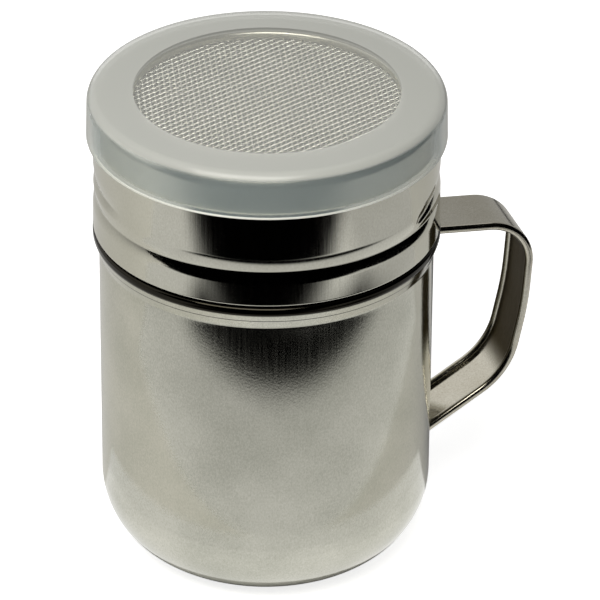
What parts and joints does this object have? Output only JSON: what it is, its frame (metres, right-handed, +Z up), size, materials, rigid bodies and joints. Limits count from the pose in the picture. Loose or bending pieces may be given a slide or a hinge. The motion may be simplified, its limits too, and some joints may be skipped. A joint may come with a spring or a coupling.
{
  "type": "spice shaker",
  "caption": "Stainless steel spice shaker with a strap handle, a screw lid with a woven wire screen, and a translucent push-on dust cover.",
  "frame": {"origin": "centre of the cup's flat base", "axes": "+Z up along the cup's axis; the handle stands out at 17.5 degrees from +X towards +Y"},
  "size_m": [0.0938, 0.0748, 0.1066],
  "materials": {
    "cup_steel": "satin, fine grain",
    "handle_steel": "satin outside, bright rolled edges",
    "lid_steel": "bright satin",
    "screen_wire": "drawn wire",
    "ring_steel": "satin",
    "cover_plastic": "frosted translucent"
  },
  "bodies": {
    "cup": {"cup_body": "cup_steel", "handle": "handle_steel"},
    "lid_carrier": {"screen_retaining_ring": "ring_steel"},
    "lid": {"lid_shell": "lid_steel", "screen_warp_wires": "screen_wire", "screen_weft_wires": "screen_wire"},
    "cover": {"dust_cover": "cover_plastic"}
  },
  "joints": [
    {"name": "lid_lift", "type": "slide", "parent": "cup", "child": "lid_carrier", "axis": [0, 0, 1], "range_m": [0, 0.045]},
    {"name": "lid_turn", "type": "hinge", "parent": "lid_carrier", "child": "lid", "pos_m": [0, 0, 0.09], "axis": [0, 0, 1], "range_deg": [0, 360]},
    {"name": "cover_lift", "type": "slide", "parent": "lid", "child": "cover", "axis": [0, 0, 1], "range_m": [0, 0.03]}
  ]
}
